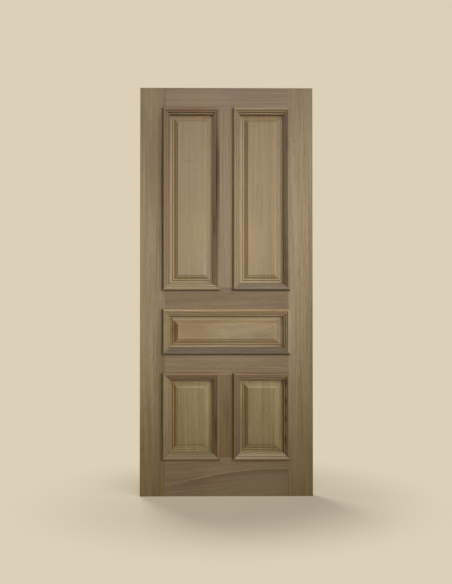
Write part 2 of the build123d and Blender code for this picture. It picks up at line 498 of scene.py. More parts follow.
# Boards of stiles, rails and muntins
MEMBER_TIMBER = {
    "left_stile": Timber(
        "oat", "dun", "olive", tint_share=0.3, shade=1.09, contrast=1.2, streak=0.008,
        pith=(0.05, 0.33), foot=1.0,
        stains=(
            Stain(-0.36, 0.0, 0.25, 0.7, "umber", 0.26),
            Stain(-0.35, 1.58, 0.050, 0.34, "dun", 0.45),
            # Two long dark bands along the inner edge: painted shadow that the left mouldings cast on the
            # stile
            Stain(-0.308, 1.46, 0.031, 0.75, "umber", 0.5),
            Stain(-0.308, 0.50, 0.031, 0.60, "umber", 0.5),
            Stain(-0.415, 1.35, 0.030, 0.5, "straw", 0.3),
            Stain(-0.385, 1.93, 0.10, 0.15, "straw", 0.5),
        ),
    ),
    "right_stile": Timber(
        "oat", "dun", "olive", tint_share=0.3, shade=1.14, contrast=1.2, streak=0.008,
        pith=(-0.04, -0.30), foot=1.0,
        stains=(
            Stain(0.329, 1.722, 0.004, 0.006, "umber", 0.8),
            Stain(0.324, 1.80, 0.004, 0.16, "umber", 0.35),
            Stain(0.36, 1.90, 0.25, 0.20, "ash", 0.35),
            Stain(0.425, 0.9, 0.055, 1.4, "umber", 0.27),
            Stain(0.345, 0.12, 0.06, 0.22, "oat", 0.6),
        ),
    ),
    "top_rail": Timber(
        "ash", "mauve", "oat", tint_share=0.4, shade=1.16, contrast=0.18, streak=0.006,
        pith=(0.05, 0.26),
        stains=(
            Stain(-0.2965, 1.932, 0.0035, 0.008, "umber", 0.7),
            Stain(-0.16, 1.93, 0.22, 0.12, "straw", 0.24),
            Stain(0.17, 1.93, 0.22, 0.12, "dun", 0.2),
        ),
    ),
    "frieze_rail": Timber(
        "fawn", "dun", "mauve", tint_share=0.3, shade=0.86, contrast=0.8, waviness=0.012,
        pith=(0.10, 0.08), slope=1.0,
        stains=(
            Stain(-0.0136, 0.966, 0.006, 0.004, "umber", 0.9),
            Stain(0.290, 0.925, 0.006, 0.012, "clay", 0.7),
        ),
    ),
    "lock_rail": Timber(
        "oat", "dun", "clay", tint_share=0.4, shade=0.98, streak=0.006,
        pith=(0.09, 0.16), slope=-0.6,
        stains=(
            Stain(-0.158, 0.670, 0.005, 0.004, "umber", 0.7),
            Stain(-0.20, 0.63, 0.16, 0.08, "dun", 0.15),
        ),
    ),
    "bottom_rail": Timber(
        "oat", "dun", "olive", tint_share=0.4, shade=1.13, contrast=0.8, streak=0.007, waviness=0.014,
        pith=(0.07, 0.20), slope=5.0,
        stains=(
            Stain(-0.006, 0.175, 0.06, 0.02, "oat", 0.5),
            Stain(-0.24, 0.08, 0.24, 0.18, "umber", 0.2),
            Stain(0.18, 0.06, 0.18, 0.16, "oat", 0.5),
        ),
        growth=Growth(0.1134, 0.149, -0.247, 0.007, 0.05, 0.42, faint=-0.34, clear=-0.10),
    ),
    "upper_muntin": Timber(
        "oat", "ash", "fawn", tint_share=0.08, shade=0.925, contrast=1.6,
        pith=(0.05, 0.24),
    ),
    "lower_muntin": Timber(
        "clay", "dun", "olive", tint_share=0.5, shade=0.95, streak=0.006, waviness=0.012,
        pith=(0.06, -0.22), foot=1.0,
        stains=(
            Stain(0.0, 0.40, 0.024, 0.15, "umber", 0.3),
            Stain(-0.004, 0.448, 0.028, 0.036, "mauve", 0.5),
        ),
    ),
}

# Boards of the panels
PANEL_TIMBER = {
    "upper_left": Timber(
        "straw", "oat", "fawn", tint_share=0.35, shade=0.955, contrast=1.8, streak=0.012,
        pith=(0.08, 0.30),
        stains=(
            Stain(-0.185, 1.625, 0.044, 0.010, "clay", 0.55, 6.0),
            Stain(-0.155, 1.29, 0.010, 0.10, "beech", 0.2),
            Stain(-0.18, 1.44, 0.10, 0.22, "dun", 0.12),
        ),
    ),
    "upper_right": Timber(
        "straw", "dun", "oat", tint_share=0.3, shade=1.05, contrast=0.38, streak=0.012,
        pith=(0.08, -0.34),
        stains=(
            Stain(0.134, 1.795, 0.030, 0.009, "clay", 0.5),
            Stain(0.203, 1.58, 0.012, 0.34, "clay", 0.25),
            Stain(0.140, 1.20, 0.075, 0.24, "straw", 0.5),
        ),
    ),
    "middle": Timber(
        "straw", "olive", "fawn", tint_share=0.5, shade=1.01, contrast=0.8, streak=0.012, waviness=0.024,
        pith=(0.12, 0.05), slope=7.0,
        stains=(
            Stain(-0.145, 0.79, 0.14, 0.09, "honey", 0.45),
            Stain(-0.16, 0.80, 0.12, 0.09, "clay", 0.35),
            Stain(-0.128, 0.818, 0.024, 0.016, "clay", 0.5),
            Stain(-0.205, 0.782, 0.004, 0.003, "umber", 0.6),
            # A pale line along the margin under the top moulding: painted highlight
            Stain(0.120, 0.8615, 0.090, 0.003, "straw", 0.6),
        ),
    ),
    "lower_left": Timber(
        "straw", "olive", "honey", tint_share=0.5, shade=0.96, contrast=1.5, streak=0.014,
        pith=(0.07, 0.30), foot=0.8,
    ),
    "lower_right": Timber(
        "straw", "olive", "honey", tint_share=0.5, shade=1.02, contrast=1.5, streak=0.013,
        pith=(0.07, -0.27), foot=0.8,
    ),
}


def strip_timber(early, late, tint, tint_share, foot=0.0):
    """The wood of a narrow strip, with close and clear streaks."""
    return Timber(early, late, tint, tint_share, contrast=1.4, streak=0.006, foot=foot)


# Kinds of wood among the mouldings
MOULDING_TIMBER = {
    "pale": strip_timber("straw", "oat", "ash", 0.9),
    "tan": strip_timber("straw", "olive", "fawn", 0.5),
    "gold": strip_timber("straw", "clay", "honey", 0.5),
    "warm": strip_timber("oat", "clay", "fawn", 0.6, foot=0.3),
    "pink": strip_timber("fawn", "clay", "mauve", 0.4, foot=0.6),
    "drab": strip_timber("fawn", "dun", "mauve", 0.4, foot=0.6),
    "red": strip_timber("clay", "dun", "rust", 0.2, foot=0.5),
    "grey": strip_timber("ash", "mauve", "mauve", 0.5, foot=0.3),
}

DOWEL_TIMBER = Timber("beech", "straw", "fawn", tint_share=0.2, streak=0.004)

# Kind of wood and shade of each length of moulding, in the order of SIDES. On the front the shades also
# hold painted light and shade: left lengths darker, top and right lengths lighter
MOULDING_BOARDS = {
    "front": {
        "upper_left": (("warm", 1.08), ("tan", 0.96), ("pink", 0.80), ("drab", 1.41)),
        "upper_right": (("tan", 1.15), ("grey", 0.90), ("tan", 0.84), ("drab", 1.03)),
        "middle": (("gold", 1.28), ("grey", 0.75), ("gold", 0.82), ("tan", 1.22)),
        "lower_left": (("pink", 1.16), ("tan", 1.03), ("tan", 0.86), ("red", 1.24)),
        "lower_right": (("warm", 1.25), ("pale", 1.46), ("pink", 0.82), ("red", 1.40)),
    },
    "back": {
        "upper_left": (("tan", 1.0), ("pink", 1.0), ("warm", 1.0), ("tan", 1.0)),
        "upper_right": (("warm", 1.0), ("tan", 1.0), ("red", 1.1), ("pink", 1.0)),
        "middle": (("pink", 1.0), ("tan", 1.0), ("tan", 1.0), ("warm", 1.0)),
        "lower_left": (("grey", 1.0), ("warm", 1.0), ("pink", 1.0), ("tan", 1.0)),
        "lower_right": (("tan", 1.0), ("red", 1.1), ("warm", 1.0), ("grey", 1.0)),
    },
}

# Heartwood streaks, blotches and other darker or paler patches on single lengths of moulding, with one dark
# line of painted shade along a quirk
MOULDING_STAINS = {
    "front_upper_left_mould_right": (
        Stain(-0.0405, 1.58, 0.010, 0.27, "umber", 0.75),
        Stain(-0.0385, 1.44, 0.011, 0.75, "umber", 0.72),
        # A dark line along the quirk: painted shade in the crease over the heartwood streak
        Stain(-0.0485, 1.48, 0.005, 0.50, "umber", 1.0),
        Stain(-0.058, 1.31, 0.006, 0.13, "umber", 0.7),
    ),
    "front_upper_left_mould_top": (Stain(-0.18, 1.885, 0.20, 0.010, "umber", 0.4),),
    "front_upper_right_mould_left": (
        Stain(0.058, 1.767, 0.004, 0.034, "umber", 0.5),
        Stain(0.060, 1.614, 0.004, 0.040, "umber", 0.55),
        Stain(0.059, 1.550, 0.004, 0.026, "umber", 0.5),
    ),
    "front_lower_left_mould_top": (
        Stain(-0.104, 0.571, 0.060, 0.005, "umber", 0.7),
        Stain(-0.18, 0.598, 0.20, 0.006, "umber", 0.5),
    ),
    "front_lower_right_mould_top": (Stain(0.18, 0.593, 0.20, 0.010, "umber", 0.5),),
    "front_lower_left_mould_right": (
        Stain(-0.052, 0.315, 0.010, 0.12, "umber", 0.65),
        Stain(-0.0385, 0.41, 0.011, 0.40, "dun", 0.5),
    ),
    "front_lower_right_mould_right": (
        Stain(0.288, 0.548, 0.009, 0.034, "umber", 0.9),
        Stain(0.288, 0.455, 0.008, 0.036, "umber", 0.8),
        Stain(0.287, 0.372, 0.008, 0.030, "umber", 0.7),
        Stain(0.286, 0.267, 0.008, 0.034, "umber", 0.85),
        Stain(0.309, 0.41, 0.009, 0.40, "oat", 0.45),
    ),
}

# Warm cast of the panels' margins and bevels
BEVEL_CAST = (1.0, 0.95, 0.84, 1.0)

# Light and shade laid into the colour of each panel, side by side in the order of SIDES
PANEL_SHADES = {
    "upper_left": (
        PanelShades(1.45, 1.0, 0.75, 0.95),
        PanelShades(0.9, 1.1, 0.68, 0.95, line=0.85),
        PanelShades(1.0, 1.25, 0.73, 0.7, line=0.85),
        PanelShades(1.9, 1.05, 0.8, 0.9, warmth=0.7),
    ),
    "upper_right": (
        PanelShades(1.5, 0.95, 0.7, 0.85),
        PanelShades(1.1, 1.35, 0.84, 1.0, line=0.9),
        PanelShades(1.05, 1.4, 0.78, 0.7, line=0.6),
        PanelShades(2.2, 1.1, 0.8, 0.92, warmth=0.45),
    ),
    "middle": (
        PanelShades(1.5, 1.2, 0.72, 0.9, warmth=0.7),
        PanelShades(1.3, 1.0, 0.8, 0.85, line=0.5),
        PanelShades(0.6, 0.7, 0.5, 0.45, line=0.8),
        PanelShades(1.7, 1.05, 0.8, 1.0, warmth=0.4),
    ),
    "lower_left": (
        PanelShades(1.05, 1.05, 0.85, 1.25),
        PanelShades(1.0, 1.35, 1.47, 1.1, line=0.25, warmth=0.5),
        PanelShades(1.1, 1.05, 0.7, 0.95, line=0.8),
        PanelShades(1.7, 1.15, 1.15, 1.0),
    ),
    "lower_right": (
        PanelShades(1.5, 1.2, 1.0, 1.35, warmth=0.6),
        PanelShades(1.0, 1.25, 1.11, 1.05, line=0.5),
        PanelShades(1.1, 1.1, 0.65, 0.65, line=0.65),
        PanelShades(1.5, 1.4, 1.25, 1.05),
    ),
}

# Light and shade laid into the colour of the mouldings at each side of a panel
MOULDING_SHADES = {
    "top": MouldingShades(0.44, 0.55, 0.5, 1.15, 0.6),
    "bottom": MouldingShades(1.1, 0.85, 0.85, 1.0, 0.75),
    "left": MouldingShades(0.7, 0.7, 0.7, 1.0, 1.0),
    "right": MouldingShades(0.65, 0.38, 0.57, 1.75, 0.47, spread=0.0033),
}

# Half width of the painted shadow line along the step of a panel's margin
STEP_SHADOW_HALF_WIDTH = 0.0023

# Half width and strength of the dark line at the shoulders of rails and muntins
SHOULDER_LINE = (0.0013, 0.5)

# Powers of a painted shade in red, green and blue, so that deep painted shades are browner
SHADE_POWERS = (0.85, 1.05, 1.5)

# Yellow cast towards the foot of the leaf, and the height at which it ends
FOOT_CAST = (1.0, 0.96, 0.80, 1.0)
FOOT_REACH = 0.9


class Nodes:
    """Short calls that add nodes to a tree and join them."""

    def __init__(self, tree):
        self.tree = tree

    @classmethod
    def of(cls, owner):
        """The emptied node tree of a material or a world."""
        owner.use_nodes = True
        owner.node_tree.nodes.clear()
        return cls(owner.node_tree)

    def feed(self, socket, value):
        """Links an output to the socket, or sets the socket to a value."""
        if isinstance(value, bpy.types.NodeSocket):
            self.tree.links.new(value, socket)
        else:
            socket.default_value = value

    def add(self, kind, inputs=None, **settings):
        """A node of the kind with its settings and inputs."""
        node = self.tree.nodes.new("ShaderNode" + kind)
        for name, value in settings.items():
            setattr(node, name, value)
        for name, value in (inputs or {}).items():
            self.feed(node.inputs[name], value)
        return node

    def math(self, operation, *values):
        """Result of a Math node."""
        node = self.add("Math", dict(enumerate(values)), operation=operation)
        return node.outputs[0]

    def vector(self, operation, *values):
        """Vector result of a Vector Math node."""
        node = self.add("VectorMath", dict(enumerate(values)), operation=operation)
        return node.outputs["Vector"]

    def length(self, value):
        """Length of a vector."""
        return self.add("VectorMath", {0: value}, operation="LENGTH").outputs["Value"]

    def axes(self, value):
        """The three coordinates of a vector."""
        return self.add("SeparateXYZ", {0: value}).outputs

    def noise(self, vector, detail, dimensions="3D"):
        """A noise texture at unit scale."""
        inputs = {"Vector": vector, "Scale": 1.0, "Detail": detail}
        return self.add("TexNoise", inputs, noise_dimensions=dimensions)

    def ramp(self, value, low, high, first=0.0, last=1.0):
        """Eases from the first to the last result as the value goes from low to high."""
        inputs = {"Value": value, "From Min": low, "From Max": high, "To Min": first, "To Max": last}
        return self.add("MapRange", inputs, interpolation_type="SMOOTHSTEP").outputs[0]

    def mix(self, share, first, second, blend="MIX"):
        """Mixes two colours."""
        node = self.add("Mix", {0: share, 6: first, 7: second}, data_type="RGBA", blend_type=blend)
        return node.outputs[2]


class Layer(NamedTuple):
    """Noise over the way from the pith: waves to a streak, reach along the fibres, detail, start, gain."""

    density: float
    reach: float
    detail: float
    start: float
    gain: float = 1.0


# Layers of the grain, from the broadest to the finest, and the one that brings the tint
BANDS = Layer(0.22, 1.5, 1.0, 3.0, gain=0.9)
STREAKS = Layer(1.0, 0.4, 2.0, 11.0, gain=1.6)
FIBRES = Layer(6.0, 0.06, 2.0, 29.0, gain=1.8)
BLUSH = Layer(0.6, 1.0, 1.0, 47.0)
BLUSH_RANGE = (0.38, 0.66)

# Slow sway of the fibres: waves to a metre along, through and across the board
SWAY_SCALE = (1.4, 3.0, 3.0)

# Pores: how close they lie, the noise values between which they open, and their share and colour
PORE_SCALE = (60.0, 1800.0, 1800.0)
PORE_RANGE = (0.58, 0.72)
PORE_SHARE = 0.22
PORE_COLOUR = (0.12, 0.08, 0.05, 1.0)

# Roughness of plain wood, and what fibres and pores add to it
PLAIN_ROUGHNESS = 0.52
FIBRE_ROUGHNESS = 0.2
PORE_ROUGHNESS = 0.15

# Relief of the fibres beside that of the pores, and how the relief bends the light
FIBRE_RELIEF = 0.6
BUMP_STRENGTH = 0.35
BUMP_DISTANCE = 0.0004

# Shine of bare timber
SPECULAR_LEVEL = 0.3

# How squarely a surface has to cut the fibres to show end grain, and how dark end grain is
END_GRAIN_RANGE = (0.25, 1.0)
END_GRAIN_SHARE = 0.4

# Middle of the values that noise gives
NOISE_MIDDLE = 0.5

# Rim of a stain: waves to its half size, how far they reach, and where it starts to fade
STAIN_WAVES = (1.3, 0.0, 1.3)
STAIN_SWING = 0.9
STAIN_CORE = 0.2

# Pale line of a growth ring: waves to a metre, their reach in half widths, strength beside the dark wood
RING_WAVES = (14.0, 0.0, 90.0)
RING_SWING = 2.5
RING_LINE_SHARE = 1.7

# Share of a dark line's half width that has its full strength
LINE_CORE = 0.25


def hardwood_group():
    """Node group of bare solid hardwood.

    The grain vector runs along the fibres in X, and its Y and Z measure the way from the pith. The distance
    from the pith, swayed a little by slow noise, is read by noise that is stretched along the fibres:
    broad bands, streaks, fibres and a tint that comes and goes. Short fine dashes are the pores.
    """
    tree = bpy.data.node_groups.new("hardwood", "ShaderNodeTree")
    for name, kind in (
        ("Grain", "Vector"), ("Early", "Color"), ("Late", "Color"), ("Tint", "Color"),
        ("Tint share", "Float"), ("Contrast", "Float"), ("Streak", "Float"), ("Waviness", "Float"),
    ):
        tree.interface.new_socket(name, in_out="INPUT", socket_type="NodeSocket" + kind)
    for name, kind in (("Color", "Color"), ("Roughness", "Float"), ("Height", "Float")):
        tree.interface.new_socket(name, in_out="OUTPUT", socket_type="NodeSocket" + kind)
    nodes = Nodes(tree)
    given = tree.nodes.new("NodeGroupInput").outputs
    slow = nodes.noise(nodes.vector("MULTIPLY", given["Grain"], SWAY_SCALE), detail=2.0)
    sway = nodes.vector("SUBTRACT", slow.outputs["Color"], (NOISE_MIDDLE, NOISE_MIDDLE, NOISE_MIDDLE))
    sideways = nodes.add("CombineXYZ", {1: given["Waviness"], 2: given["Waviness"]}).outputs[0]
    swayed = nodes.vector("MULTIPLY_ADD", sway, sideways, given["Grain"])
    along, depth, across = nodes.axes(swayed)
    radius = nodes.length(nodes.add("CombineXYZ", {1: depth, 2: across}).outputs[0])
    rings = nodes.math("DIVIDE", radius, given["Streak"])

    def grown(layer):
        """Noise over the distance from the pith, in streak widths, that changes slowly along the fibres."""
        spot = nodes.add("CombineXYZ", {
            0: nodes.math("MULTIPLY_ADD", rings, layer.density, layer.start),
            1: nodes.math("DIVIDE", along, layer.reach),
        })
        return nodes.noise(spot.outputs[0], layer.detail, "2D").outputs[0]

    def swing(noise, layer):
        """How far a noise value is from its middle, times the gain of its layer."""
        return nodes.math("MULTIPLY", nodes.math("SUBTRACT", noise, NOISE_MIDDLE), layer.gain)

    band, streak, fibre, blush = (grown(layer) for layer in (BANDS, STREAKS, FIBRES, BLUSH))
    cells = nodes.noise(nodes.vector("MULTIPLY", swayed, PORE_SCALE), detail=0.0).outputs[0]
    pores = nodes.ramp(cells, *PORE_RANGE)
    broad = nodes.math("ADD", swing(band, BANDS), swing(streak, STREAKS))
    swings = nodes.math("ADD", broad, swing(fibre, FIBRES))
    level = nodes.math("MULTIPLY_ADD", swings, given["Contrast"], NOISE_MIDDLE)
    wood = nodes.mix(level, given["Late"], given["Early"])
    blushed = nodes.math("MULTIPLY", nodes.ramp(blush, *BLUSH_RANGE), given["Tint share"])
    wood = nodes.mix(blushed, wood, given["Tint"])
    wood = nodes.mix(nodes.math("MULTIPLY", pores, PORE_SHARE), wood, PORE_COLOUR)
    roughness = nodes.math("MULTIPLY_ADD", fibre, FIBRE_ROUGHNESS, PLAIN_ROUGHNESS)
    roughness = nodes.math("MULTIPLY_ADD", pores, PORE_ROUGHNESS, roughness)
    height = nodes.math("SUBTRACT", nodes.math("MULTIPLY", fibre, FIBRE_RELIEF), pores)
    put = tree.nodes.new("NodeGroupOutput").inputs
    nodes.feed(put["Color"], wood)
    nodes.feed(put["Roughness"], roughness)
    nodes.feed(put["Height"], height)
    return tree


def paint(tone_name, shade=1.0):
    """A timber tone as a shader colour, darker or lighter by the shade."""
    return (*(shade * channel for channel in getattr(bpy.context.scene.leaf_tones, tone_name)), 1.0)


def stained(nodes, colour, places, stain):
    """The colour with a soft oval patch, ragged at its rim."""
    oval = nodes.add("Mapping", {
        "Vector": places,
        "Location": (stain.across, 0.0, stain.height),
        "Rotation": (0.0, math.radians(stain.turn), 0.0),
        "Scale": (stain.half_width, 1.0, stain.half_height),
    }, vector_type="TEXTURE").outputs[0]
    ragged = nodes.noise(nodes.vector("MULTIPLY", oval, STAIN_WAVES), detail=2.0).outputs[0]
    rim = nodes.math("MULTIPLY_ADD", ragged, STAIN_SWING, -STAIN_SWING * NOISE_MIDDLE)
    distance = nodes.math("ADD", nodes.length(oval), rim)
    share = nodes.ramp(distance, STAIN_CORE, 1.0, stain.strength, 0.0)
    return nodes.mix(share, colour, paint(stain.tone))


def ringed(nodes, colour, places, growth):
    """The colour with the pale line of a growth ring and the dark wood that fades away below it."""
    across, _, height = nodes.axes(places)
    rise = nodes.math("MULTIPLY", across, nodes.math("MULTIPLY_ADD", across, growth.curve, growth.slope))
    ragged = nodes.noise(nodes.vector("MULTIPLY", places, RING_WAVES), detail=3.0).outputs[0]
    swing = nodes.math("SUBTRACT", ragged, NOISE_MIDDLE)
    base = nodes.math("MULTIPLY_ADD", swing, RING_SWING * growth.half_width, growth.height)
    above = nodes.math("SUBTRACT", nodes.math("SUBTRACT", height, base), rise)
    dark = nodes.math("MULTIPLY", nodes.ramp(above, -growth.fade, 0.0), nodes.math("LESS_THAN", above, 0.0))
    strength = nodes.ramp(across, growth.faint, growth.clear, 0.0, growth.strength)
    colour = nodes.mix(nodes.math("MULTIPLY", dark, strength), colour, paint("umber"))
    line = nodes.math("MULTIPLY", strength, RING_LINE_SHARE)
    pale = nodes.ramp(nodes.math("ABSOLUTE", above), 0.0, growth.half_width, line, 0.0)
    return nodes.mix(pale, colour, paint("straw"))


def lined(nodes, colour, distance, half_width, strength):
    """The colour with a dark line where the distance is zero, fading out at its half width."""
    away = nodes.math("ABSOLUTE", distance)
    line = nodes.ramp(away, LINE_CORE * half_width, half_width, strength, 0.0)
    return nodes.mix(line, colour, paint("umber"))


def profiled(nodes, colour, distance, stops, share=1.0):
    """The colour times a painted light and shade that runs straight from stop to stop over the distance."""
    reach = stops[-1][0]
    ramp = nodes.add("ValToRGB", {"Fac": nodes.math("DIVIDE", distance, reach)})
    elements = ramp.color_ramp.elements
    elements.remove(elements[1])
    for number, (stop, shade) in enumerate(stops):
        element = elements.new(stop / reach) if number else elements[0]
        element.color = (*(shade ** power for power in SHADE_POWERS), 1.0)
    return nodes.mix(share, colour, ramp.outputs["Color"], "MULTIPLY")


def shaded_moulding(nodes, colour, moulded):
    """The colour of a moulding with the painted light and shade of its lip, its creases, its fillet and its
    slope.
    """
    lip_reach, reach = 0.008, 0.002
    quirk, foot, slope = moulded.creases
    shades = moulded.shades
    spread = shades.spread
    inward = nodes.add("Attribute", attribute_name="inward").outputs["Fac"]
    return profiled(nodes, colour, inward, (
        (0.0, shades.lip), (lip_reach, 1.0),
        (quirk - reach, 1.0), (quirk, shades.quirk), (quirk + reach, 1.0),
        (foot - spread - reach, 1.0), (foot - spread, shades.foot), (foot, shades.foot),
        (foot + reach, shades.fillet), (slope - spread - reach, shades.fillet),
        (slope - spread, shades.slope), (slope + reach, shades.slope),
    ))


def footed(nodes, colour, places, strength):
    """The colour, yellower towards the foot of the leaf."""
    share = nodes.ramp(nodes.axes(places)["Z"], 0.0, FOOT_REACH, strength, 0.0)
    return nodes.mix(share, colour, FOOT_CAST, "MULTIPLY")


def shaded_panel(nodes, colour, places, raised):
    """The colour of a panel with the warm cast, the painted light and shade and the painted step shadows of
    its four sides.

    A point belongs to the side that it is nearest to, so the sides meet along the mitre lines.
    """
    edge_reach, rim, hair = 0.007, 0.0004, 1e-6
    across, _, height = nodes.axes(places)
    insets = (
        nodes.math("SUBTRACT", raised.high.z, height),
        nodes.math("SUBTRACT", height, raised.low.z),
        nodes.math("SUBTRACT", across, raised.low.x),
        nodes.math("SUBTRACT", raised.high.x, across),
    )
    nearest = nodes.math("MINIMUM", nodes.math("MINIMUM", *insets[:2]), nodes.math("MINIMUM", *insets[2:]))
    edge, margin, foot, head, field = raised.zones
    for inset, shades in zip(insets, raised.shades):
        mine = nodes.math("COMPARE", inset, nearest, hair)
        warm = nodes.math("MULTIPLY", mine, nodes.ramp(inset, head, head + rim, shades.warmth, 0.0))
        colour = nodes.mix(warm, colour, BEVEL_CAST, "MULTIPLY")
        colour = profiled(nodes, colour, inset, (
            (0.0, shades.edge), (edge, shades.edge),
            (edge + edge_reach, shades.margin), (foot, shades.margin),
            (foot + rim, shades.bevel), (head, shades.bevel),
            (head + rim, shades.ledge), (field - rim, shades.ledge),
            (field, 1.0),
        ), mine)
        # Painted shadow of the margin's step: a dark line on the margin just outside it
        line = nodes.math("MULTIPLY", mine, shades.line)
        step_shadow_offset = nodes.math("SUBTRACT", inset, margin - STEP_SHADOW_HALF_WIDTH)
        colour = lined(nodes, colour, step_shadow_offset, STEP_SHADOW_HALF_WIDTH, line)
    return colour


def timber_material(name, timber, upright, centre, shoulder=None, raised=None, moulded=None):
    """Bare timber with its grain upright or level, cut from a log whose pith lay beside the given centre.

    Shoulder is the way from the centre to the joints at the ends, along the grain. Raised tells how a panel
    is shaped and shaded, and moulded how a moulding is.
    """
    group = bpy.data.node_groups.get("hardwood") or hardwood_group()
    material = bpy.data.materials.new(name)
    nodes = Nodes.of(material)
    places = nodes.add("TexCoord").outputs
    pith_depth, pith_across = timber.pith
    turn = math.radians(timber.slope) + (math.pi / 2 if upright else 0)
    beside = pith_across + (centre.x if upright else -centre.z)
    grain = nodes.add("Mapping", {
        "Vector": places["Object"],
        "Location": (centre.x + centre.z, pith_depth, beside),
        "Rotation": (0.0, turn, 0.0),
    }).outputs[0]
    wood = nodes.add("Group", node_tree=group)
    for socket, value in (
        ("Grain", grain),
        ("Early", paint(timber.early, timber.shade)),
        ("Late", paint(timber.late, timber.shade)),
        ("Tint", paint(timber.tint, timber.shade)),
        ("Tint share", timber.tint_share),
        ("Contrast", timber.contrast),
        ("Streak", timber.streak),
        ("Waviness", timber.waviness),
    ):
        nodes.feed(wood.inputs[socket], value)
    colour = wood.outputs["Color"]
    for stain in timber.stains:
        colour = stained(nodes, colour, places["Object"], stain)
    if timber.growth:
        colour = ringed(nodes, colour, places["Object"], timber.growth)
    if shoulder:
        across, _, height = nodes.axes(places["Object"])
        along, middle = (height, centre.z) if upright else (across, centre.x)
        away = nodes.math("ABSOLUTE", nodes.math("SUBTRACT", along, middle))
        colour = lined(nodes, colour, nodes.math("SUBTRACT", away, shoulder), *SHOULDER_LINE)
    if raised:
        colour = shaded_panel(nodes, colour, places["Object"], raised)
    if moulded:
        colour = shaded_moulding(nodes, colour, moulded)
    colour = footed(nodes, colour, places["Object"], timber.foot)
    facing = nodes.math("ABSOLUTE", nodes.axes(places["Normal"])["Z" if upright else "X"])
    colour = nodes.mix(nodes.ramp(facing, *END_GRAIN_RANGE, 0.0, END_GRAIN_SHARE), colour, paint("umber"))
    bump = nodes.add("Bump", {
        "Strength": BUMP_STRENGTH,
        "Distance": BUMP_DISTANCE,
        "Height": wood.outputs["Height"],
    })
    shader = nodes.add("BsdfPrincipled", {
        "Base Color": colour,
        "Roughness": wood.outputs["Roughness"],
        "Normal": bump.outputs["Normal"],
        "Specular IOR Level": SPECULAR_LEVEL,
    })
    nodes.add("OutputMaterial", {"Surface": shader.outputs[0]})
    return material


def box_centre(node):
    """Middle of a node's box."""
    low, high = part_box(node)
    return (low + high) / 2


def dress(node, material):
    """Gives a node of the frame its material."""
    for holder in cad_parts[node].material_slots:
        holder.material = material


# Stage


def seen_directly(nodes):
    """1 for rays from the camera, off gloss or through glass, 0 for rays that only carry light."""
    rays = nodes.add("LightPath").outputs
    mirrored = nodes.math("MAXIMUM", rays["Is Glossy Ray"], rays["Is Transmission Ray"])
    return nodes.math("MAXIMUM", rays["Is Camera Ray"], mirrored)


def lay_floor(settings):
    """A pale floor that keeps the shadow near the leaf and is as bright as the background further out."""
    shadow_share, shadow_start, shadow_end, below = 0.7, 0.35, 1.1, -0.0005
    material = bpy.data.materials.new("floor")
    nodes = Nodes.of(material)
    colour = (*settings.backdrop, 1.0)
    distance = nodes.length(nodes.add("TexCoord").outputs["Object"])
    plain = nodes.ramp(distance, shadow_start, shadow_end, 1.0 - shadow_share, 1.0)
    lit = nodes.add("BsdfDiffuse", {"Color": colour}).outputs[0]
    even = nodes.add("Emission", {"Color": colour}).outputs[0]
    shown = nodes.math("MULTIPLY", plain, seen_directly(nodes))
    mixed = nodes.add("MixShader", {0: shown, 1: lit, 2: even}).outputs[0]
    nodes.add("OutputMaterial", {"Surface": mixed})
    mesh = disc_mesh("floor", settings.floor_radius, below)
    mesh.materials.append(material)
    link("floor", mesh)


def set_world(settings):
    """Light from all round, with the backdrop colour wherever the world itself is seen."""
    world = bpy.data.worlds.new("studio")
    nodes = Nodes.of(world)
    colour = nodes.mix(seen_directly(nodes), (*settings.fill, 1.0), (*settings.backdrop, 1.0))
    surface = nodes.add("Background", {"Color": colour}).outputs[0]
    nodes.add("OutputWorld", {"Surface": surface})
    bpy.context.scene.world = world


def add_lamp(name, kind, spot, power, aim):
    """A lamp of the kind at the spot, looking at the aim."""
    lamp = bpy.data.lights.new(name, kind)
    lamp.energy = power
    holder = link(name, lamp)
    holder.location = spot
    holder.rotation_euler = (aim - holder.location).to_track_quat("-Z", "Y").to_euler()
    return lamp


def add_row(settings):
    """A row of lamps like one wide soft window, at even bearings on a circle round the leaf."""
    for bearing in np.linspace(settings.row_start, settings.row_end, ROW_LAMPS):
        spot = settings.row_distance * Vector((math.sin(bearing), -math.cos(bearing), 0.0))
        spot.z = settings.row_height
        lamp = add_lamp("window", "SPOT", spot, settings.row_power, settings.aim)
        lamp.spot_size = settings.row_cone
        lamp.spot_blend = 1.0
        lamp.shadow_soft_size = settings.row_radius


def set_camera(settings):
    """The camera in front of the leaf, turned from level by its pitch and turn."""
    camera = bpy.data.cameras.new("camera")
    camera.lens = settings.camera_lens
    holder = link("camera", camera)
    holder.location = settings.camera_place
    holder.rotation_euler = (math.pi / 2 + settings.camera_pitch, 0.0, settings.camera_turn)
    bpy.context.scene.camera = holder


# Operators


class DressMembers(bpy.types.Operator):
    """Gives each stile, rail and muntin its own board."""

    bl_idname = "door_leaf.dress_members"
    bl_label = "Stiles, rails and muntins"

    def execute(self, context):
        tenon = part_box("top_rail")[1].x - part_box("right_stile")[0].x
        for node in STILES + MUNTINS + RAILS:
            upright = node not in RAILS
            low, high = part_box(node)
            length = high.z - low.z if upright else high.x - low.x
            shoulder = None if node in STILES else length / 2 - tenon
            dress(node, timber_material(node, MEMBER_TIMBER[node], upright, box_centre(node), shoulder))
        return {"FINISHED"}


class DressDowels(bpy.types.Operator):
    """Gives the hidden dowels their wood."""

    bl_idname = "door_leaf.dress_dowels"
    bl_label = "Dowels"

    def execute(self, context):
        for node in DOWELS:
            upright = node == "muntin_dowels"
            dress(node, timber_material(node, DOWEL_TIMBER, upright, box_centre(node)))
        return {"FINISHED"}


